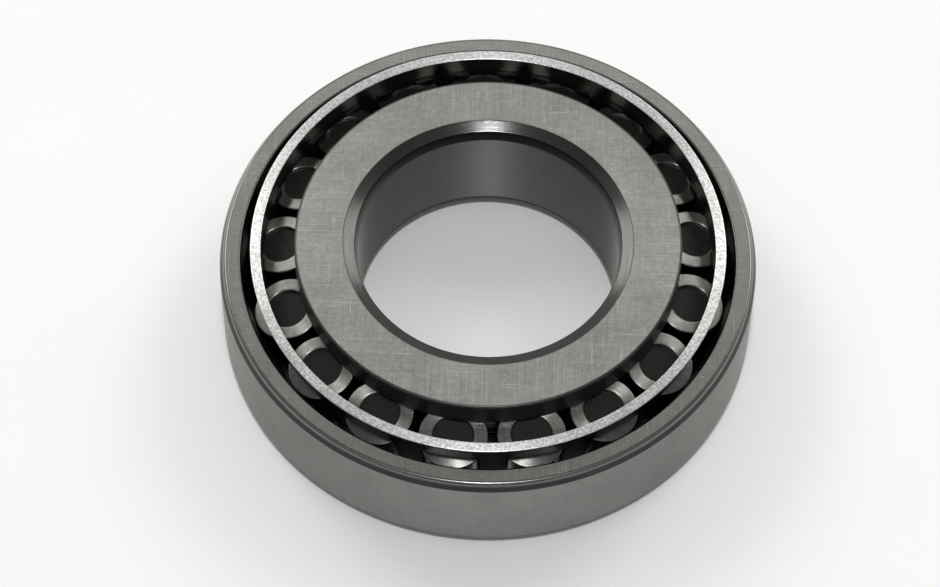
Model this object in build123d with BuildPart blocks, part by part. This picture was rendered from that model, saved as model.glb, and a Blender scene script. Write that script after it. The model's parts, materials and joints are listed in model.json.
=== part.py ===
from build123d import *
from math import asin, atan2, cos, degrees, hypot, radians, sin, sqrt, tan
import os

os.makedirs("parts", exist_ok=True)

# Single-row tapered roller bearing, standing on the back face of its outer ring.
# The bearing axis is Z, that back face is Z = 0, and the open side faces up.
# Lengths are in millimetres, angles in degrees.

# Envelope
bore_diameter = 35.0
outside_diameter = 72.0
outer_ring_width = 15.0
inner_ring_rise = 3.25         # inner ring's back face above the outer ring's open face
inner_ring_setback = 1.25      # inner ring's front face above the outer ring's back face

# Raceways
raceway_angle = 14.036         # half angle of the outer raceway
outer_ring_wall = 2.83         # at the open face, the thin edge of the outer ring
inner_ring_wall = 3.52         # from the bore to the raceway, at the front face
race_clearance = 0.05          # free gap between a roller and each raceway

# Edges of the outer ring
outer_back_radius = 2.0
outer_back_lip_radius = 0.6
open_bevel_width = 0.65
open_bevel_height = 1.2
open_bevel_blend = 0.4
open_lip_radius = 0.3
open_lead_width = 0.19         # steeper lead-in between the open face and the raceway
open_lead_height = 1.4

# Ribs and edges of the inner ring
back_rib_height = 2.45
front_rib_height = 0.65
rib_clearance = 0.03           # between the back rib and a roller's ground end
front_rib_clearance = 0.35     # between the front rib and a roller's small end
rib_edge_radius = 0.25
relief_radius = 0.45           # grinding reliefs in the corners of the raceway
bore_front_radius = 1.1
bore_bevel_width = 1.5         # shallow bevel round the bore at the back face
bore_bevel_depth = 0.6
bore_lead_width = 0.35         # steep lead-in below that bevel
bore_lead_depth = 1.5
bore_bevel_blend = 0.12

# Rollers
roller_gap = 1.0               # least gap between neighbours at their large ends
first_roller_angle = 7.5       # from X, counter-clockwise seen from above
bare_race_above = 2.15         # outer raceway left bare between the rollers and the open face
bare_race_below = 2.85         # the same, between the rollers and the back face
roller_end_sphere = 120.0      # radius of the ground large end
roller_land = 1.83             # width of the ground ring around the recess
roller_recess_depth = 0.5
roller_recess_radius = 0.2     # round lip and round foot of the recess
roller_edge_radius = 0.2

# Cage, pressed from sheet
cage_sheet = 0.8
cage_clearance = 1.6           # from the cage to the outer raceway
cage_rim_height = 3.35         # closed band above the pockets
cage_rim_width = 1.44          # its top edge, upset wider than the sheet
cage_bend_radius = 1.0
bend_share = 0.9               # most of the flange that this bend may take up
cage_flange_height = 0.8       # underside of the inward flange above the back face
cage_flange_clearance = 0.8    # from the flange to the inner ring's front rib
cage_edge_radius = 0.12
pocket_clearance = 0.15
pocket_end_clearance = 0.4

# The two raceways and every roller axis run to one apex on the bearing axis.
# Offsetting a cone by the free gap moves its apex along the axis.
bore_radius = bore_diameter / 2
outside_radius = outside_diameter / 2
assembled_width = outer_ring_width + inner_ring_rise
open_race_radius = outside_radius - outer_ring_wall - open_lead_width
outer_apex = outer_ring_width - open_race_radius / tan(radians(raceway_angle))
roller_apex = outer_apex + race_clearance / sin(radians(raceway_angle))
front_race_radius = bore_radius + inner_ring_wall
apex_to_front = inner_ring_setback - roller_apex
apex_to_race = hypot(apex_to_front, front_race_radius)
inner_race_angle = degrees(atan2(front_race_radius, apex_to_front) + asin(race_clearance / apex_to_race))
inner_apex = roller_apex + race_clearance / sin(radians(inner_race_angle))

# Rollers fill the space between the raceways
roller_half_angle = (raceway_angle - inner_race_angle) / 2
pitch_angle = (raceway_angle + inner_race_angle) / 2


def along_axis(height):
    """Distance from the apex, along a roller's axis, of the section that meets the raceway at a height."""
    slant = (height - roller_apex) / cos(radians(raceway_angle))
    return slant * cos(radians(roller_half_angle))


roller_taper = tan(radians(roller_half_angle))
roller_head = along_axis(outer_ring_width - bare_race_above)
roller_foot = along_axis(bare_race_below)
roller_radius = roller_head * roller_taper
recess_radius = roller_radius - roller_land
sphere_centre = roller_head - sqrt(roller_end_sphere**2 - roller_radius**2)
pitch_radius = roller_head * sin(radians(pitch_angle))
roller_pitch_angle = 2 * degrees(asin((roller_radius + roller_gap / 2) / pitch_radius))
roller_count = int(360 / roller_pitch_angle)


def meridian(along, above):
    """Radius and height of a point given along a roller's axis and outward from it."""
    tilt = radians(pitch_angle)
    return (along * sin(tilt) + above * cos(tilt), roller_apex + along * cos(tilt) - above * sin(tilt))


def head_height(offset):
    """Place along the axis of the spherical end, at an offset from that axis."""
    return sphere_centre + sqrt(roller_end_sphere**2 - offset**2)


def rib_root(point, slope):
    """Where a rib face through a point, falling outward at a slope, meets the inner raceway."""
    fall = tan(radians(slope))
    flare = tan(radians(inner_race_angle))
    height = (point[1] + fall * (point[0] + inner_apex * flare)) / (1 + fall * flare)
    return ((height - inner_apex) * flare, height)


def rib_edge(point, slope, radius):
    """The same rib face, at its outer radius."""
    return (radius, point[1] - (radius - point[0]) * tan(radians(slope)))


def round_corner(sketch, corner, radius):
    """Round the corner of a sketch that lies nearest to a point."""
    fillet(sketch.vertices().sort_by_distance(Vector(*corner))[0], radius)


# Outer ring
outer_corner = (outside_radius, 0)
outer_bore_corner = (-outer_apex * tan(radians(raceway_angle)), 0)
bevel_foot = (outside_radius, outer_ring_width - open_bevel_height)
bevel_head = (outside_radius - open_bevel_width, outer_ring_width)
open_corner = (outside_radius - outer_ring_wall, outer_ring_width)
lead_height = outer_ring_width - open_lead_height
open_lead_foot = ((lead_height - outer_apex) * tan(radians(raceway_angle)), lead_height)

with BuildPart() as outer_ring:
    with BuildSketch(Plane.XZ) as outer_section:
        with BuildLine():
            Polyline(
                outer_bore_corner, outer_corner, bevel_foot, bevel_head,
                open_corner, open_lead_foot, close=True,
            )
        make_face()
        round_corner(outer_section, outer_corner, outer_back_radius)
        round_corner(outer_section, outer_bore_corner, outer_back_lip_radius)
        round_corner(outer_section, bevel_foot, open_bevel_blend)
        round_corner(outer_section, bevel_head, open_bevel_blend)
        round_corner(outer_section, open_corner, open_lip_radius)
    revolve(axis=Axis.Z)
outer_ring.part.label = "outer_ring"
export_step(outer_ring.part, "parts/outer_ring.step")

# Inner ring. The back rib is ground square to the rollers' spherical ends, and the front
# rib lies square to their axes. A relief groove clears both corners of the raceway.
rib_reach = roller_radius - roller_land / 2
rib_lean = degrees(asin(rib_reach / roller_end_sphere))
back_rib_slope = pitch_angle - rib_lean
back_rib_point = meridian(head_height(rib_reach) + rib_clearance / cos(radians(rib_lean)), -rib_reach)
back_rib_root = rib_root(back_rib_point, back_rib_slope)
back_rib_radius = back_rib_root[0] + back_rib_height
back_rib_edge = rib_edge(back_rib_point, back_rib_slope, back_rib_radius)
front_rib_point = meridian(roller_foot - front_rib_clearance, 0)
front_rib_root = rib_root(front_rib_point, pitch_angle)
front_rib_radius = front_rib_root[0] + front_rib_height
front_rib_edge = rib_edge(front_rib_point, pitch_angle, front_rib_radius)
front_corner = (front_rib_radius, inner_ring_setback)
bore_front_corner = (bore_radius, inner_ring_setback)
back_corner = (back_rib_radius, assembled_width)
bevel_rim = (bore_radius + bore_lead_width + bore_bevel_width, assembled_width)
bevel_crease = (bore_radius + bore_lead_width, assembled_width - bore_bevel_depth)
lead_foot = (bore_radius, assembled_width - bore_bevel_depth - bore_lead_depth)

with BuildPart() as inner_ring:
    with BuildSketch(Plane.XZ) as inner_section:
        with BuildLine():
            Polyline(
                bore_front_corner, front_corner, front_rib_edge, front_rib_root,
                back_rib_root, back_rib_edge, back_corner,
                bevel_rim, bevel_crease, lead_foot, close=True,
            )
        make_face()
        with Locations(front_rib_root, back_rib_root):
            Circle(relief_radius, mode=Mode.SUBTRACT)
        round_corner(inner_section, bore_front_corner, bore_front_radius)
        for corner in (front_corner, back_rib_edge, back_corner):
            round_corner(inner_section, corner, rib_edge_radius)
        for corner in (bevel_rim, bevel_crease):
            round_corner(inner_section, corner, bore_bevel_blend)
    revolve(axis=Axis.Z)
inner_ring.part.label = "inner_ring"
export_step(inner_ring.part, "parts/inner_ring.step")


def roller_plane(angle):
    """Plane through the bearing axis and a roller's axis, from the apex: X leads out, Y up the roller."""
    outward = Vector(1, 0, 0).rotate(Axis.Y, pitch_angle).rotate(Axis.Z, angle)
    sideways = Vector(0, -1, 0).rotate(Axis.Z, angle)
    return Plane(origin=(0, 0, roller_apex), x_dir=outward, z_dir=sideways)


# Pocket of the cage: a roller's form grown by its clearance
pocket_foot = roller_foot - pocket_end_clearance
pocket_head = roller_head + pocket_end_clearance
pocket_growth = pocket_clearance / cos(radians(roller_half_angle))
pocket_foot_corner = (pocket_foot * roller_taper + pocket_growth, pocket_foot)
pocket_head_corner = (pocket_head * roller_taper + pocket_growth, pocket_head)

with BuildPart() as pocket:
    with BuildSketch(roller_plane(0)) as pocket_section:
        with BuildLine():
            Polyline((0, pocket_foot), pocket_foot_corner, pocket_head_corner, (0, pocket_head), close=True)
        make_face()
        for corner in (pocket_foot_corner, pocket_head_corner):
            round_corner(pocket_section, corner, roller_edge_radius + pocket_clearance)
    revolve(axis=Axis(roller_plane(0).origin, roller_plane(0).y_dir))

# Cage: a cone of sheet that follows the outer raceway and turns in to a flange below
# the rollers. Its rim is upset, so it widens upward to an upright inner wall.
inner_face = cage_clearance + cage_sheet


def cage_radius(height, depth):
    """Radius, at a height, of a cone set in from the outer raceway by a depth."""
    slope = radians(raceway_angle)
    return (height - outer_apex) * tan(slope) - depth / cos(slope)


def cage_height(radius, depth):
    """Height, at a radius, of the same cone."""
    slope = radians(raceway_angle)
    return outer_apex + (radius + depth / cos(slope)) / tan(slope)


web_above = pocket_head * roller_taper + (race_clearance - inner_face) / cos(radians(roller_half_angle))
rim_top = meridian(pocket_head, web_above)[1] + cage_rim_height
rim_outside = cage_radius(rim_top, cage_clearance)
rim_inside = rim_outside - cage_rim_width
rim_corners = ((rim_inside, rim_top), (rim_outside, rim_top))
rim_foot = (rim_inside, cage_height(rim_inside, inner_face))
flange_top = cage_flange_height + cage_sheet
flange_radius = front_rib_radius + cage_flange_clearance
outer_bend = (cage_radius(cage_flange_height, cage_clearance), cage_flange_height)
inner_bend = (cage_radius(flange_top, inner_face), flange_top)
flange_corners = ((flange_radius, cage_flange_height), (flange_radius, flange_top))
flange_flat = inner_bend[0] - flange_radius - cage_edge_radius
bend_limit = bend_share * flange_flat / tan(radians(90 - raceway_angle) / 2)
bend_radius = min(cage_bend_radius, bend_limit)

with BuildPart() as cage:
    with BuildSketch(Plane.XZ) as cage_section:
        with BuildLine():
            Polyline(*rim_corners, outer_bend, *flange_corners, inner_bend, rim_foot, close=True)
        make_face()
        round_corner(cage_section, inner_bend, bend_radius)
        round_corner(cage_section, outer_bend, bend_radius + cage_sheet)
        round_corner(cage_section, rim_foot, cage_bend_radius)
        for corner in rim_corners + flange_corners:
            round_corner(cage_section, corner, cage_edge_radius)
    revolve(axis=Axis.Z)
    with PolarLocations(0, roller_count, first_roller_angle):
        add(pocket.part, mode=Mode.SUBTRACT)
cage.part.label = "cage"
export_step(cage.part, "parts/cage.step")


def build_roller(angle):
    """One tapered roller: a recessed spherical end at the top, a flat end at the bottom."""
    foot_corner = (roller_foot * roller_taper, roller_foot)
    head_corner = (roller_radius, roller_head)
    land_middle = (recess_radius + roller_radius) / 2
    lip = (recess_radius, head_height(recess_radius))
    recess_foot = (recess_radius, lip[1] - roller_recess_depth)
    plane = roller_plane(angle)
    with BuildPart() as roller:
        with BuildSketch(plane) as roller_section:
            with BuildLine():
                Polyline((0, recess_foot[1]), (0, roller_foot), foot_corner, head_corner)
                ThreePointArc(head_corner, (land_middle, head_height(land_middle)), lip)
                Polyline(lip, recess_foot, (0, recess_foot[1]))
            make_face()
            for corner in (foot_corner, head_corner):
                round_corner(roller_section, corner, roller_edge_radius)
            for corner in (lip, recess_foot):
                round_corner(roller_section, corner, roller_recess_radius)
        revolve(axis=Axis(plane.origin, plane.y_dir))
    return roller.part


for index in range(roller_count):
    name = f"roller_{index + 1:02d}"
    roller_part = build_roller(first_roller_angle + index * 360 / roller_count)
    roller_part.label = name
    export_step(roller_part, f"parts/{name}.step")
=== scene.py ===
import bmesh
import bpy
import json
from math import acos, asin, atan2, cos, hypot, pi, radians, sin, sqrt, tan
from mathutils import Matrix, Quaternion, Vector
from mathutils.geometry import intersect_point_line


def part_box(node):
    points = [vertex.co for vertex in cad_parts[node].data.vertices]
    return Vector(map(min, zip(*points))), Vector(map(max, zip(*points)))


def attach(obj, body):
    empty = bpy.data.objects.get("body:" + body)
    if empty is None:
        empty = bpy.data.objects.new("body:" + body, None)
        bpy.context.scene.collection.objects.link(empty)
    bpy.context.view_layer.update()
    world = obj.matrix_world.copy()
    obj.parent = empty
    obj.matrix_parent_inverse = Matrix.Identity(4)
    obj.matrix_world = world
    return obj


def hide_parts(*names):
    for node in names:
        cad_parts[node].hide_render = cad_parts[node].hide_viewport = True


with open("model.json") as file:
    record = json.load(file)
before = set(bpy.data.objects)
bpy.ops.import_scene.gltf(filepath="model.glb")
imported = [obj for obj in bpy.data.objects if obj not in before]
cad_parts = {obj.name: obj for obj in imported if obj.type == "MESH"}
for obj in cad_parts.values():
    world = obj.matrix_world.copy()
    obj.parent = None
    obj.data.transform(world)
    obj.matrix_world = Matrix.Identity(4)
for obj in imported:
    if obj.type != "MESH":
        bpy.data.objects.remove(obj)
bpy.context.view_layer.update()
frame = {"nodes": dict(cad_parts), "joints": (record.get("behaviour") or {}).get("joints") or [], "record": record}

# Tapered roller bearing on the back face of its outer ring: the axis is Z, the open side is up.
# Lengths are in metres. Overall sizes and every roller's axis come from the frame.
MM = 0.001
joints = {joint["name"]: joint for joint in frame["joints"]}
mounts = {mount["name"]: mount for mount in frame["record"]["mounts"]}
roller_names = sorted(name for name in frame["nodes"] if name.startswith("roller_"))

outside_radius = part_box("outer_ring")[1].x
outer_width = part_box("outer_ring")[1].z
inner_front, inner_back = (corner.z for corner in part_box("inner_ring"))
rib_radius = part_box("inner_ring")[1].x
bore_radius = mounts["bore"]["dims"]["r_mm"] * MM
cage_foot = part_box("cage")[0].z

# Outer ring
race_angle = radians(14.036)
outer_wall = 2.83 * MM
outer_back_radius = 2.0 * MM
outer_lip_radius = 0.6 * MM
bevel_width = 0.65 * MM
bevel_height = 1.2 * MM
bevel_blend = 0.4 * MM
open_lip_radius = 0.3 * MM
open_lead_height = 1.4 * MM

# Inner ring
race_clearance = 0.05 * MM
front_rib_height = 0.65 * MM
rib_clearance = 0.03 * MM
front_rib_clearance = 0.35 * MM
rib_edge_radius = 0.25 * MM
relief_radius = 0.45 * MM
relief_sink = 0.75                 # how far a relief's floor goes in, as a share of its radius
bore_front_radius = 1.1 * MM
bore_bevel_width = 1.5 * MM
bore_bevel_depth = 0.6 * MM
bore_lead_width = 0.35 * MM
bore_lead_depth = 1.5 * MM
bore_bevel_blend = 0.12 * MM

# Rollers
bare_race_above = 2.15 * MM
bare_race_below = 2.85 * MM
end_sphere = 120.0 * MM
land_width = 1.83 * MM
recess_depth = 0.5 * MM
recess_edge_radius = 0.2 * MM
roller_edge_radius = 0.2 * MM

# Cage
sheet = 0.8 * MM
cage_clearance = 1.6 * MM
rim_height = 3.35 * MM
rim_width = 1.44 * MM
bend_radius = 1.0 * MM
flange_clearance = 0.8 * MM
cage_edge_radius = 0.12 * MM
pocket_clearance = 0.15 * MM
pocket_end_clearance = 0.4 * MM

# Facets round a full turn
ring_steps = 360
roller_steps = 72
pocket_steps = 48
cage_steps = 20 * len(roller_names)
corner_steps = 5

# How meshes and finishes meet
merge_distance = 1e-7
axis_distance = 1e-6               # a point nearer the axis than this has no direction of its own
corner_shade_reach = 0.12 * MM             # how far the painted corner shade runs from a rounded corner onto its sides
bevel_pull = 0.4                   # a blend belongs more to a bevel or a cut edge beside it
height_weight = 2.0                # height against radius, in the measure that runs along a section


# ---------------------------------------------------------------- shared cones of the bearing

def tilt_of(name):
    """Angle between a roller's axis and the bearing axis."""
    return acos(joints[name + "_spin"]["axis"][2])


pitch_angle = tilt_of(roller_names[0])
first_axis = joints[roller_names[0] + "_spin"]
roller_apex = first_axis["pos_m"][2] - hypot(*first_axis["pos_m"][:2]) / tan(pitch_angle)
half_angle = race_angle - pitch_angle
inner_angle = pitch_angle - half_angle
taper = tan(half_angle)
outer_apex = roller_apex - race_clearance / sin(race_angle)
inner_apex = roller_apex + race_clearance / sin(inner_angle)


def along_axis(height):
    """Place along a roller's axis of its section that meets the raceway at a height."""
    return (height - roller_apex) / cos(race_angle) * cos(half_angle)


roller_head = along_axis(outer_width - bare_race_above)
roller_foot = along_axis(bare_race_below)
roller_radius = roller_head * taper
recess_radius = roller_radius - land_width
sphere_centre = roller_head - sqrt(end_sphere**2 - roller_radius**2)


def head_height(offset):
    """Place along a roller's axis of its spherical end, at an offset from that axis."""
    return sphere_centre + sqrt(end_sphere**2 - offset**2)


def meridian(along, above):
    """Radius and height of a point given along a roller's axis and outward from it."""
    return (
        along * sin(pitch_angle) + above * cos(pitch_angle),
        roller_apex + along * cos(pitch_angle) - above * sin(pitch_angle),
    )


# ---------------------------------------------------------------- turned meshes

def turned(name, corners, steps, closed=True):
    """Turn a section about Z. A corner is (radius, height, rounding, finish of the side after it)."""
    shape = bmesh.new()
    painted_corner_shade = shape.verts.layers.float.new("painted_corner_shade")
    points = section_points(corners, closed)
    verts = [shape.verts.new(point) for point, _ in points]
    ends = zip(verts, verts[1:] + verts[:1]) if closed else zip(verts, verts[1:])
    for start, end in ends:
        shape.edges.new((start, end))
    for vert, (_, rounding) in zip(verts, points):
        # Painted shade: a rounded corner is marked, and finishes with a corner shade share colour it dark.
        if rounding:
            vert[painted_corner_shade] = 1.0
            round_off(shape, vert, rounding)
    bmesh.ops.spin(
        shape, geom=shape.verts[:] + shape.edges[:], cent=(0, 0, 0), axis=(0, 0, 1),
        angle=2 * pi, steps=steps, use_merge=True,
    )
    bmesh.ops.remove_doubles(shape, verts=shape.verts, dist=merge_distance)
    bmesh.ops.recalc_face_normals(shape, faces=shape.faces)
    mesh = bpy.data.meshes.new(name)
    assign_finishes(mesh, shape, corners, closed)
    wrap(shape)
    for face in shape.faces:
        face.smooth = True
    shape.to_mesh(mesh)
    shape.free()
    return mesh


def section_points(corners, closed):
    """The corners with their roundings, and a point on each side just past the end of a rounding."""
    points = [Vector((radius, 0, height)) for radius, height, _, _ in corners]
    reaches = []
    for index, (_, _, rounding, _) in enumerate(corners):
        before, after = points[index - 1], points[(index + 1) % len(points)]
        turn = (points[index] - before).angle(after - points[index])
        reaches.append(rounding * tan(turn / 2) + corner_shade_reach if rounding else 0)
    chain = []
    for index, point in enumerate(points):
        chain.append((point, corners[index][2]))
        if not closed and index == len(points) - 1:
            break
        following = (index + 1) % len(points)
        side = points[following] - point
        if reaches[index] + reaches[following] < side.length:
            if reaches[index]:
                chain.append((point + side.normalized() * reaches[index], 0))
            if reaches[following]:
                chain.append((points[following] - side.normalized() * reaches[following], 0))
    return chain


def round_off(shape, vert, radius):
    """Round a corner of the section, tangent to both of its sides."""
    ways = [(edge.other_vert(vert).co - vert.co).normalized() for edge in vert.link_edges]
    turn = pi - ways[0].angle(ways[1])
    bmesh.ops.bevel(
        shape, geom=[vert], offset=radius * tan(turn / 2), offset_type="OFFSET",
        segments=corner_steps, profile=0.5, affect="VERTICES", material=-1,
    )


def assign_finishes(mesh, shape, corners, closed):
    """Give each face the finish of the side of the section that it lies nearest to."""
    names = list(dict.fromkeys(finish for _, _, _, finish in corners if finish))
    for finish in names:
        mesh.materials.append(finishes[finish])
    points = [Vector((radius, height, 0)) for radius, height, _, _ in corners]
    sides = list(zip(points, points[1:] + points[:1], (corner[3] for corner in corners)))
    if not closed:
        sides = sides[:-1]
    for face in shape.faces:
        middle = face.calc_center_median()
        here = Vector((hypot(middle.x, middle.y), middle.z, 0))
        nearest = min(sides, key=lambda side: distance_to_side(here, *side))
        face.material_index = names.index(nearest[2])


def distance_to_side(point, start, end, finish):
    """Distance from a point of the section to one of its sides, less for a bevel or a cut edge."""
    _, share = intersect_point_line(point, start, end)
    distance = (point - start.lerp(end, min(max(share, 0), 1))).length
    return distance * bevel_pull if "bevel" in finish or "edge" in finish else distance


def wrap(shape):
    """UV map: U once round the axis, V along the section. Each point keeps its place on the lathe."""
    uv = shape.loops.layers.uv.new("turned")
    lathe = shape.verts.layers.float_vector.new("lathe")
    for vert in shape.verts:
        vert[lathe] = vert.co
    for face in shape.faces:
        middle = face.calc_center_median()
        around = atan2(middle.y, middle.x)
        for loop in face.loops:
            point = loop.vert.co
            radius = hypot(point.x, point.y)
            angle = atan2(point.y, point.x) if radius > axis_distance else around
            angle += 2 * pi * round((around - angle) / (2 * pi))
            loop[uv].uv = (angle / (2 * pi), (radius + height_weight * point.z) / outside_radius)


def piece(name, mesh, body, slot, *nodes):
    """Make an object of a mesh, and let it stand for its CAD nodes on a body."""
    made = bpy.data.objects.new(name, mesh)
    bpy.context.scene.collection.objects.link(made)
    even = made.modifiers.new("even_normals", "WEIGHTED_NORMAL")
    even.weight = 100
    even.keep_sharp = True
    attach(made, body)
    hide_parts(*nodes)
    return made


# ---------------------------------------------------------------- shader nodes

noise_range = (0.3, 0.7)           # where most of a noise lies
pair_range = (0.7, 1.3)            # where most of the sum of two clouds lies
wide_patch = 5 * MM
small_patch = 0.7 * MM
gloss_swing = 0.1                  # how much the lay changes the roughness
quarter_turn = 0.25                # turns the stretch of a highlight across the lay
lay_seeds = (0.0, 7.0)
scratch_seeds = (3.0, 11.0)
corner_shade_colour = (0.04, 0.04, 0.042, 1.0)     # painted shade on the roundings where a corner breaks a ground face


def node(tree, kind, inputs=None, **settings):
    """Add a node, set its properties, and set or link its inputs."""
    made = tree.nodes.new("ShaderNode" + kind)
    for key, value in settings.items():
        setattr(made, key, value)
    for key, value in (inputs or {}).items():
        if isinstance(value, bpy.types.NodeSocket):
            tree.links.new(value, made.inputs[key])
        else:
            made.inputs[key].default_value = value
    return made


def maths(tree, operation, first, second=0.0):
    """A sum, product or other operation on two values."""
    return node(tree, "Math", {0: first, 1: second}, operation=operation).outputs[0]


def spread(tree, value, low, high, start=0.0, end=1.0):
    """Stretch a value from one range to another, and hold it there."""
    return node(tree, "MapRange", {
        "Value": value, "From Min": start, "From Max": end, "To Min": low, "To Max": high,
    }).outputs["Result"]


def noise_at(tree, vector, detail=3.0, roughness=0.6):
    """Noise on coordinates that are already stretched to its size."""
    return node(tree, "TexNoise", {
        "Vector": vector, "Scale": 1.0, "Detail": detail, "Roughness": roughness,
    }).outputs["Fac"]


def cloud(tree, place, size, detail=2.0):
    """Soft blotches of a size."""
    return node(tree, "TexNoise", {
        "Vector": place, "Scale": 1 / size, "Detail": detail, "Roughness": 0.5,
    }).outputs["Fac"]


def vector_of(tree, x, y, z):
    """A vector of three values."""
    return node(tree, "CombineXYZ", {"X": x, "Y": y, "Z": z}).outputs[0]


def parts_of(tree, place):
    """X, Y and Z of a place, and its distance from the lathe's axis."""
    split = node(tree, "SeparateXYZ", {0: place}).outputs
    flat = vector_of(tree, split["X"], split["Y"], 0.0)
    radius = node(tree, "VectorMath", {0: flat}, operation="LENGTH").outputs["Value"]
    return split["X"], split["Y"], split["Z"], radius


def round_lay(tree, place, line=0.10 * MM, length=5 * MM):
    """Grinding lines that run round the axis."""
    x, y, z, radius = parts_of(tree, place)
    across = maths(tree, "ADD", maths(tree, "MULTIPLY", z, height_weight), radius)
    return noise_at(tree, vector_of(
        tree, maths(tree, "DIVIDE", x, length), maths(tree, "DIVIDE", y, length),
        maths(tree, "DIVIDE", across, line),
    ))


def stroke_family(tree, over, along, seed, line, length, detail=3.0):
    """Long straight strokes, a line apart, that run along one direction."""
    return noise_at(tree, vector_of(
        tree, maths(tree, "DIVIDE", over, line), maths(tree, "DIVIDE", along, length), seed,
    ), detail)


def share_along(tree, part, radius):
    """Strength of the strokes along one axis of a face: full on that axis and faint across it."""
    faintest, strongest, rise = 0.25, 1.0, (0.1, 0.9)
    share = maths(tree, "DIVIDE", maths(tree, "ABSOLUTE", part), radius)
    return spread(tree, share, faintest, strongest, *rise)


def crossed_lay(tree, place, line=0.14 * MM, length=9 * MM):
    """Two families of grinding strokes at right angles, each stronger where it runs outward."""
    x, y, _, radius = parts_of(tree, place)
    along_y = maths(tree, "SUBTRACT", stroke_family(tree, x, y, lay_seeds[0], line, length), 0.5)
    along_x = maths(tree, "SUBTRACT", stroke_family(tree, y, x, lay_seeds[1], line, length), 0.5)
    shown = maths(
        tree, "ADD",
        maths(tree, "MULTIPLY", along_y, share_along(tree, y, radius)),
        maths(tree, "MULTIPLY", along_x, share_along(tree, x, radius)),
    )
    return maths(tree, "ADD", shown, 0.5)


def no_lay(tree, place, size=0.15 * MM):
    """Even grain with no direction."""
    return cloud(tree, place, size, 4.0)


def peened(tree, place, size=0.35 * MM):
    """Coarse grain of a struck edge."""
    return cloud(tree, place, size)


def scratches(tree, place, line=0.16 * MM, length=7 * MM, rarity=0.72, edge=0.12, gain=0.5):
    """A few long bright scratches along two directions."""
    x, y, _, _ = parts_of(tree, place)
    first = stroke_family(tree, x, y, scratch_seeds[0], line, length, 0.0)
    second = stroke_family(tree, y, x, scratch_seeds[1], line, length, 0.0)
    strongest = maths(tree, "MAXIMUM", first, second)
    return spread(tree, strongest, 0.0, gain, rarity, rarity + edge)


def painted_glints(tree, place, size=0.18 * MM, rarity=0.79, edge=0.06, gain=1.0):
    """Painted glints: tiny bright specks of colour where light would catch."""
    return spread(tree, cloud(tree, place, size, 0.0), 0.0, gain, rarity, rarity + edge)


def painted_top_highlight(tree, place, starts=0.6 * MM, full=0.3 * MM, gain=3.5):
    """Painted highlight down from the top of the outer bevel: a bright band where light would catch its upper
    blend, with painted glints.
    """
    height = parts_of(tree, place)[2]
    band = spread(tree, height, 0.0, gain, outer_width - starts, outer_width - full)
    return maths(tree, "ADD", band, painted_glints(tree, place))


def no_marks(tree, place):
    """A surface without scratches or glints."""
    return 0.0


def face_marks(tree, place):
    """Scratches of a handled ring face, and painted glints."""
    return maths(tree, "ADD", scratches(tree, place), painted_glints(tree, place))


def steel(name, tone, roughness, lay=no_lay, contrast=0.10, depth=0.002 * MM, anisotropy=0.0,
          blotch=0.04, marks=no_marks, corner_shade_share=0.0, metallic=1.0, specular=0.5):
    """Cut or ground steel. The lay of the cut shows in its colour, its gloss and its surface."""
    made = bpy.data.materials.new(name)
    made.use_nodes = True
    tree = made.node_tree
    tree.nodes.clear()
    place = node(tree, "Attribute", attribute_name="lathe").outputs["Vector"]
    lines = lay(tree, place)
    patches = maths(tree, "ADD", cloud(tree, place, wide_patch), cloud(tree, place, small_patch))
    brightness = maths(
        tree, "MULTIPLY",
        spread(tree, lines, 1 - contrast, 1 + contrast, *noise_range),
        spread(tree, patches, 1 - blotch, 1 + blotch, *pair_range),
    )
    # Marks add scratches to the colour, and some add painted highlights and glints.
    brightness = maths(tree, "ADD", brightness, marks(tree, place))
    colour = node(tree, "VectorMath", {0: tone, "Scale": brightness}, operation="SCALE").outputs[0]
    # Painted shade: the marked roundings are mixed toward the dark corner colour.
    if corner_shade_share:
        corner_shade_mask = node(tree, "Attribute", attribute_name="painted_corner_shade").outputs["Fac"]
        colour = node(tree, "Mix", {
            "Factor": maths(tree, "MULTIPLY", corner_shade_mask, corner_shade_share), 6: colour, 7: corner_shade_colour,
        }, data_type="RGBA").outputs[2]
    gloss = spread(
        tree, lines, roughness * (1 - gloss_swing), roughness * (1 + gloss_swing), *noise_range,
    )
    relief = node(tree, "Bump", {"Strength": 1.0, "Distance": depth, "Height": lines}).outputs["Normal"]
    shader = node(tree, "BsdfPrincipled", {
        "Base Color": colour, "Metallic": metallic, "Roughness": gloss, "Normal": relief,
    })
    shader.inputs["Specular IOR Level"].default_value = specular
    if anisotropy:
        shader.inputs["Anisotropic"].default_value = anisotropy
        shader.inputs["Anisotropic Rotation"].default_value = quarter_turn
        tangent = node(tree, "Tangent", direction_type="UV_MAP", uv_map="turned").outputs[0]
        tree.links.new(tangent, shader.inputs["Tangent"])
    output = node(tree, "OutputMaterial", {"Surface": shader.outputs[0]})
    output.is_active_output = True
    return made
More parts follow.
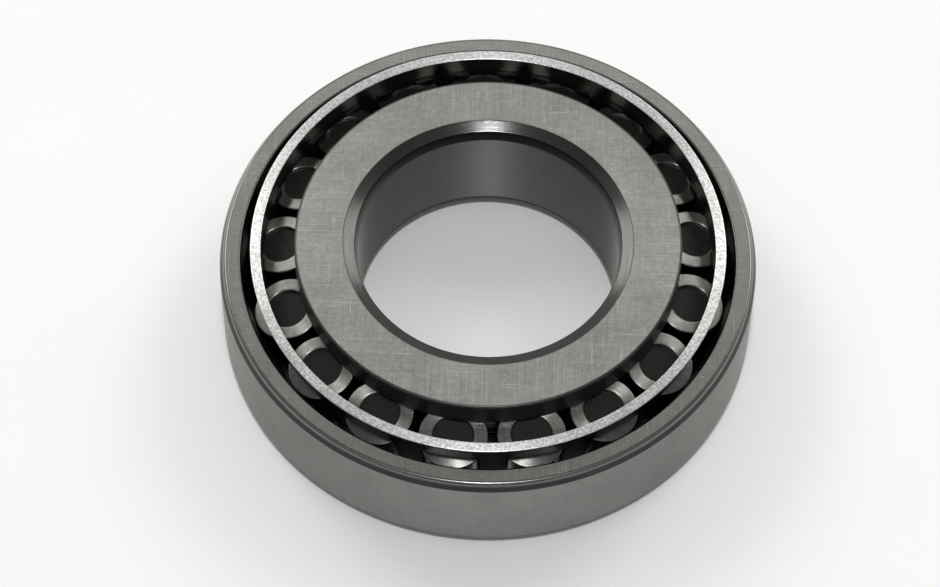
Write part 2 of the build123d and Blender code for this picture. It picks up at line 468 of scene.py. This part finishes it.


# The corner shade share paints shade on the rounded corners of the ring faces and the bore.
# Each finish: tone, roughness, lay, contrast of the lay, depth of its relief, anisotropy
finishes = {
    "ground_face": steel(
        "ground_face", (0.325, 0.328, 0.305), 0.37, crossed_lay, 0.14, 0.003 * MM, 0.2,
        blotch=0.13, marks=face_marks, corner_shade_share=0.9),
    "lapped_face": steel(
        "lapped_face", (0.295, 0.297, 0.274), 0.22, crossed_lay, 0.09, 0.001 * MM,
        blotch=0.08, marks=face_marks, corner_shade_share=0.55),
    "ground_outside": steel(
        "ground_outside", (0.31, 0.307, 0.294), 0.58, round_lay, 0.06, 0.012 * MM, 0.8, blotch=0.08),
    "ground_bore": steel(
        "ground_bore", (0.20, 0.20, 0.198), 0.44, round_lay, 0.10, 0.003 * MM, 1.0, corner_shade_share=0.8),
    # The outer bevel carries a painted highlight along its top.
    "turned_bevel": steel(
        "turned_bevel", (0.05, 0.049, 0.048), 0.22, round_lay, 0.35, 0.008 * MM, marks=painted_top_highlight),
    "bore_bevel": steel("bore_bevel", (0.060, 0.059, 0.057), 0.16, round_lay, 0.3, 0.005 * MM),
    "black_bevel": steel("black_bevel", (0.012, 0.012, 0.013), 0.3, round_lay, 0.2, 0.002 * MM),
    "dark_rib": steel("dark_rib", (0.17, 0.17, 0.175), 0.30, round_lay, 0.1, 0.002 * MM, 0.8),
    # Painted shade: the raceways are coloured dark for the shade and dark reflections deep between the rings.
    "race_painted_dark": steel("race_painted_dark", (0.11, 0.11, 0.11), 0.28, round_lay, 0.05, 0.0008 * MM, 0.4),
    "roller_side": steel("roller_side", (0.44, 0.43, 0.395), 0.14, round_lay, 0.05, 0.0008 * MM, 0.4),
    # Painted glints on the roller ends.
    "roller_land": steel(
        "roller_land", (0.19, 0.19, 0.177), 0.34, round_lay, 0.15, 0.0015 * MM, 0.85,
        blotch=0.25, marks=painted_glints),
    "black_recess": steel(
        "black_recess", (0.013, 0.0115, 0.0095), 0.5, peened, 0.5, 0.012 * MM,
        metallic=0.0, specular=0.15),
    "pressed_sheet": steel("pressed_sheet", (0.075, 0.08, 0.085), 0.38, no_lay, 0.15, 0.004 * MM),
    "upset_wall": steel("upset_wall", (0.12, 0.12, 0.105), 0.35, round_lay, 0.15, 0.004 * MM),
    "sheared_edge": steel(
        "sheared_edge", (0.68, 0.69, 0.68), 0.35, peened, 0.26, 0.015 * MM, 0.75, blotch=0.12),
}


# ---------------------------------------------------------------- outer ring

race_edge = outside_radius - outer_wall
race_foot = -outer_apex * tan(race_angle)
lead_height = outer_width - open_lead_height
lead_foot = ((lead_height - outer_apex) * tan(race_angle), lead_height)
outer_ring = turned("outer_ring_turned", [
    (race_foot, 0, outer_lip_radius, "ground_face"),
    (outside_radius, 0, outer_back_radius, "ground_outside"),
    (outside_radius, outer_width - bevel_height, bevel_blend, "turned_bevel"),
    (outside_radius - bevel_width, outer_width, bevel_blend, "lapped_face"),
    (race_edge, outer_width, open_lip_radius, "race_painted_dark"),
    (*lead_foot, 0, "race_painted_dark"),
], ring_steps)
piece("outer_ring_turned", outer_ring, "outer_ring", "outer_ring", "outer_ring")


# ---------------------------------------------------------------- inner ring

def race_point(height):
    """Point of the inner raceway at a height."""
    return ((height - inner_apex) * tan(inner_angle), height)


def rib_root(point, slope):
    """Where a rib face through a point, falling outward at a slope, meets the inner raceway."""
    fall, flare = tan(slope), tan(inner_angle)
    return race_point((point[1] + fall * (point[0] + inner_apex * flare)) / (1 + fall * flare))


rib_reach = roller_radius - land_width / 2
rib_lean = asin(rib_reach / end_sphere)
rib_slope = pitch_angle - rib_lean
rib_point = meridian(head_height(rib_reach) + rib_clearance / cos(rib_lean), -rib_reach)
back_root = rib_root(rib_point, rib_slope)
back_edge = (rib_radius, rib_point[1] - (rib_radius - rib_point[0]) * tan(rib_slope))
front_point = meridian(roller_foot - front_rib_clearance, 0)
front_root = rib_root(front_point, pitch_angle)
front_radius = front_root[0] + front_rib_height
front_edge = (front_radius, front_point[1] - (front_radius - front_point[0]) * tan(pitch_angle))


def relief(root, to_rib, to_race):
    """Grinding relief in a corner of the raceway: its points on the rib, its floor and the race."""
    rib_way = (Vector(to_rib) - Vector(root)).normalized() * relief_radius
    race_way = (Vector(to_race) - Vector(root)).normalized() * relief_radius
    floor = Vector(root) - (rib_way + race_way) * relief_sink
    return Vector(root) + rib_way, floor, Vector(root) + race_way


front_relief = relief(front_root, front_edge, back_root)
back_relief = relief(back_root, back_edge, front_root)
bevel_rim = bore_radius + bore_lead_width + bore_bevel_width
bevel_crease = bore_radius + bore_lead_width
inner_ring = turned("inner_ring_turned", [
    (bore_radius, inner_front, bore_front_radius, "ground_face"),
    (front_radius, inner_front, rib_edge_radius, "dark_rib"),
    (*front_edge, 0, "race_painted_dark"),
    (*front_relief[0], 0, "dark_rib"),
    (*front_relief[1], relief_radius / 2, "dark_rib"),
    (*front_relief[2], 0, "race_painted_dark"),
    (*back_relief[2], 0, "dark_rib"),
    (*back_relief[1], relief_radius / 2, "dark_rib"),
    (*back_relief[0], 0, "race_painted_dark"),
    (*back_edge, rib_edge_radius, "dark_rib"),
    (rib_radius, inner_back, rib_edge_radius, "ground_face"),
    (bevel_rim, inner_back, bore_bevel_blend, "bore_bevel"),
    (bevel_crease, inner_back - bore_bevel_depth, bore_bevel_blend, "black_bevel"),
    (bore_radius, inner_back - bore_bevel_depth - bore_lead_depth, 0, "ground_bore"),
], ring_steps)
piece("inner_ring_turned", inner_ring, "inner_ring", "inner_ring", "inner_ring")


# ---------------------------------------------------------------- rollers

def roller_place(name):
    """From a roller's own lathe, apex at the origin and axis up, to its place in the bearing."""
    up = Vector(joints[name + "_spin"]["axis"]).normalized()
    outward = (Vector((up.x, up.y, 0)) - up * (up.x**2 + up.y**2)).normalized()
    axes = Matrix((outward, up.cross(outward), up)).transposed().to_4x4()
    return Matrix.Translation((0, 0, roller_apex)) @ axes


land_middle = (recess_radius + roller_radius) / 2
recess_floor = head_height(recess_radius) - recess_depth
for name in roller_names:
    mesh = turned(name + "_turned", [
        (0, roller_foot, 0, "roller_land"),
        (roller_foot * taper, roller_foot, roller_edge_radius, "roller_side"),
        (roller_radius, roller_head, roller_edge_radius, "roller_land"),
        (land_middle, head_height(land_middle), 0, "roller_land"),
        (recess_radius, head_height(recess_radius), recess_edge_radius, "roller_land"),
        (recess_radius, recess_floor, recess_edge_radius, "black_recess"),
        (0, recess_floor, 0, None),
    ], roller_steps, closed=False)
    mesh.transform(roller_place(name))
    piece(name + "_turned", mesh, name, "rollers", name)


# ---------------------------------------------------------------- cage

def cage_radius(height, depth):
    """Radius, at a height, of a cone set in from the outer raceway by a depth."""
    return (height - outer_apex) * tan(race_angle) - depth / cos(race_angle)


def cage_height(radius, depth):
    """Height, at a radius, of the same cone."""
    return outer_apex + (radius + depth / cos(race_angle)) / tan(race_angle)


inner_face = cage_clearance + sheet
pocket_head = roller_head + pocket_end_clearance
web_above = pocket_head * taper + (race_clearance - inner_face) / cos(half_angle)
rim_top = meridian(pocket_head, web_above)[1] + rim_height
rim_outside = cage_radius(rim_top, cage_clearance)
rim_inside = rim_outside - rim_width
flange_radius = front_radius + flange_clearance
cage = turned("cage_pressed", [
    (rim_inside, rim_top, cage_edge_radius, "sheared_edge"),
    (rim_outside, rim_top, cage_edge_radius, "pressed_sheet"),
    (cage_radius(cage_foot, cage_clearance), cage_foot, bend_radius + sheet, "pressed_sheet"),
    (flange_radius, cage_foot, cage_edge_radius, "pressed_sheet"),
    (flange_radius, cage_foot + sheet, cage_edge_radius, "pressed_sheet"),
    (cage_radius(cage_foot + sheet, inner_face), cage_foot + sheet, bend_radius, "pressed_sheet"),
    (rim_inside, cage_height(rim_inside, inner_face), bend_radius, "upset_wall"),
], cage_steps)


def pocket_cutter(name):
    """A roller's form grown by its clearance, which shapes the pocket of the cage."""
    foot = roller_foot - pocket_end_clearance
    growth = pocket_clearance / cos(half_angle)
    corner = roller_edge_radius + pocket_clearance
    mesh = turned("pocket_" + name, [
        (0, foot, 0, "pressed_sheet"),
        (foot * taper + growth, foot, corner, "pressed_sheet"),
        (pocket_head * taper + growth, pocket_head, corner, "pressed_sheet"),
        (0, pocket_head, 0, None),
    ], pocket_steps, closed=False)
    mesh.transform(roller_place(name))
    return mesh


cutters = bmesh.new()
for name in roller_names:
    cutters.from_mesh(pocket_cutter(name))
cutter_mesh = bpy.data.meshes.new("pockets")
cutter_mesh.materials.append(finishes["pressed_sheet"])
cutters.to_mesh(cutter_mesh)
cutters.free()
cutter = bpy.data.objects.new("pockets", cutter_mesh)
blank = bpy.data.objects.new("cage_blank", cage)
for made in (cutter, blank):
    bpy.context.scene.collection.objects.link(made)
cut = blank.modifiers.new("pockets", "BOOLEAN")
cut.operation = "DIFFERENCE"
cut.solver = "EXACT"
cut.object = cutter
pressed = bpy.data.meshes.new_from_object(blank.evaluated_get(bpy.context.evaluated_depsgraph_get()))
for made in (cutter, blank):
    bpy.data.objects.remove(made)
pressed.name = "cage_pressed"
piece("cage_pressed", pressed, "cage", "cage", "cage")


# ---------------------------------------------------------------- floor, light and camera

def add_floor():
    """Plain pale floor under the bearing."""
    radius, segments, grain_size, darkest, palest = 2.5, 64, 40 * MM, 0.99, 1.01
    tone = (0.975, 0.975, 0.98)
    shape = bmesh.new()
    bmesh.ops.create_circle(shape, cap_ends=True, segments=segments, radius=radius)
    mesh = bpy.data.meshes.new("floor")
    shape.to_mesh(mesh)
    shape.free()
    made = bpy.data.materials.new("pale_floor")
    made.use_nodes = True
    tree = made.node_tree
    shader = tree.nodes["Principled BSDF"]
    shader.inputs["Roughness"].default_value = 0.9
    shader.inputs["Specular IOR Level"].default_value = 0.2
    place = node(tree, "TexCoord").outputs["Object"]
    grain = spread(tree, cloud(tree, place, grain_size), darkest, palest, *noise_range)
    colour = node(tree, "VectorMath", {0: tone, "Scale": grain}, operation="SCALE").outputs[0]
    tree.links.new(colour, shader.inputs["Base Color"])
    mesh.materials.append(made)
    floor = bpy.data.objects.new("floor", mesh)
    bpy.context.scene.collection.objects.link(floor)


def add_lamp(name, azimuth, elevation, size, power, colour):
    """A square soft lamp a metre away, facing the bearing. Azimuth 0 is behind it, 90 on its right."""
    light = bpy.data.lights.new(name, "AREA")
    light.size = size
    light.energy = power
    light.color = colour
    made = bpy.data.objects.new(name, light)
    bpy.context.scene.collection.objects.link(made)
    turn, rise = radians(azimuth), radians(elevation)
    way = Vector((sin(turn) * cos(rise), cos(turn) * cos(rise), sin(rise)))
    made.location = way
    made.rotation_euler = way.to_track_quat("Z", "Y").to_euler()


def add_world():
    """A soft studio: a pale screen behind the bearing, a dim ceiling, and dark walls in front."""
    side_cut = 0.5                 # how much a direction to the side counts as less behind
    screen_edge = (-0.25, 0.3)     # the screen comes in over this share behind
    screen_low, screen_high, screen_rise = 0.75, 1.0, (0.0, 0.7)
    ceiling, ceiling_edge = 0.15, (0.84, 0.865)
    wall_low, wall_high, wall_rise = 0.08, 0.42, (0.0, 0.8)
    world = bpy.data.worlds.new("studio")
    bpy.context.scene.world = world
    world.use_nodes = True
    tree = world.node_tree
    way = node(tree, "SeparateXYZ", {0: node(tree, "TexCoord").outputs["Generated"]}).outputs
    aside = maths(tree, "MULTIPLY", maths(tree, "ABSOLUTE", way["X"]), side_cut)
    behind = spread(tree, maths(tree, "SUBTRACT", way["Y"], aside), 0.0, 1.0, *screen_edge)
    screen = maths(
        tree, "MULTIPLY",
        spread(tree, way["Z"], screen_low, screen_high, *screen_rise),
        spread(tree, way["Z"], 1.0, ceiling, *ceiling_edge),
    )
    walls = spread(tree, way["Z"], wall_low, wall_high, *wall_rise)
    level = node(
        tree, "Mix", {"Factor": behind, "A": walls, "B": screen}, data_type="FLOAT",
    ).outputs[0]
    background = tree.nodes["Background"]
    background.inputs["Color"].default_value = (1.0, 1.0, 1.0, 1.0)
    tree.links.new(level, background.inputs["Strength"])


def add_camera():
    """Camera above the front of the bearing, a little turned about its own line of sight."""
    roll = radians(0.7277)
    lens = bpy.data.cameras.new("camera")
    lens.lens = 138.875
    lens.sensor_width = 36.0
    made = bpy.data.objects.new("camera", lens)
    bpy.context.scene.collection.objects.link(made)
    made.location = (0, -262.181 * MM, 424.548 * MM)
    aim = Vector((-2.302 * MM, -5.734 * MM, 13.8 * MM))
    level = (aim - made.location).to_track_quat("-Z", "Y")
    made.rotation_mode = "QUATERNION"
    made.rotation_quaternion = level @ Quaternion((0, 0, 1), roll)
    bpy.context.scene.camera = made


cool_white = (0.97, 0.985, 1.0)
warm_white = (1.0, 0.98, 0.91)
add_floor()
add_world()
add_lamp("overhead_lamp", 180, 77, 0.07, 3.1, cool_white)
add_lamp("left_lamp", -43, 40, 0.36, 1.8, warm_white)
add_lamp("right_lamp", 43, 40, 0.36, 1.6, warm_white)
add_camera()
bpy.context.scene.view_settings.view_transform = "Standard"
